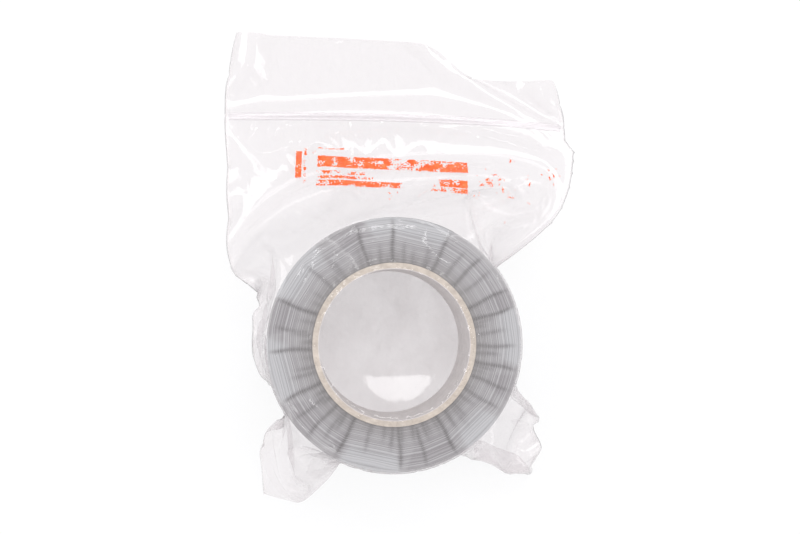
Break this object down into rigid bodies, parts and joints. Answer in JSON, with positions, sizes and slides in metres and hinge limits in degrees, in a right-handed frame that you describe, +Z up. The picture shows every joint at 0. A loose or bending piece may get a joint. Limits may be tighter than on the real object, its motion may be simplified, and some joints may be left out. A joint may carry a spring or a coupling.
{
  "type": "bagged roll of packing tape",
  "caption": "Roll of grey packing tape on a spiral-wound paper core, sealed in a clear grip-seal film bag with a folding header and two corner ears.",
  "frame": {"origin": "on the roll's axis, in the plane that the bag's underside rests on", "axes": "+Z up along the roll's axis; +Y from the roll towards the bag's header and mouth; +X to the right seen from above with the header away from the viewer"},
  "size_m": [0.1854, 0.2508, 0.0509],
  "materials": {
    "core_paper": "matte",
    "tape_edge": "satin",
    "tape_face": "gloss",
    "bag_film": "gloss",
    "heat_seal": "satin",
    "zip_strip": "gloss",
    "orange_ink": "satin"
  },
  "bodies": {
    "bag": {"film_front_face": "bag_film", "film_back_face": "bag_film", "film_side_band": "bag_film", "side_fold_left": "bag_film", "side_fold_right": "bag_film", "bottom_seal": "heat_seal", "corner_webs": "bag_film", "neck_front_film": "bag_film", "neck_back_film": "bag_film"},
    "roll": {"core_liner": "core_paper", "core_inner_ply": "core_paper", "core_middle_ply": "core_paper", "core_outer_ply": "core_paper", "core_cover_ply": "core_paper", "tape_winding": "tape_edge", "tape_end": "tape_face"},
    "header": {"header_back_film": "bag_film", "header_front_film": "bag_film", "lip_back_film": "bag_film", "zip_groove_strip": "zip_strip", "print_ink": "orange_ink"},
    "mouth_flap": {"mouth_front_film": "bag_film", "lip_front_film": "bag_film", "zip_rib_strip": "zip_strip"},
    "ear_left": {"ear_left_back_film": "bag_film", "ear_left_front_film": "bag_film"},
    "ear_right": {"ear_right_back_film": "bag_film", "ear_right_front_film": "bag_film"}
  },
  "joints": [
    {"name": "roll_turn", "type": "hinge", "parent": "bag", "child": "roll", "pos_m": [0, 0, 0.025], "axis": [0, 0, 1], "continuous": true},
    {"name": "header_fold", "type": "hinge", "parent": "bag", "child": "header", "pos_m": [0, 0.08027, 0.02117], "axis": [1, 0, 0], "range_deg": [0, 95]},
    {"name": "mouth_open", "type": "hinge", "parent": "header", "child": "mouth_flap", "pos_m": [0, 0.10512, 0.01548], "axis": [1, 0, 0], "range_deg": [0, 30]},
    {"name": "ear_left_fold", "type": "hinge", "parent": "bag", "child": "ear_left", "pos_m": [-0.03702, -0.05488, 0.02614], "axis": [-0.829, 0.5592, 0], "range_deg": [0, 90]},
    {"name": "ear_right_fold", "type": "hinge", "parent": "bag", "child": "ear_right", "pos_m": [0.0443, -0.0492, 0.02614], "axis": [-0.7431, -0.6691, 0], "range_deg": [0, 90]}
  ]
}
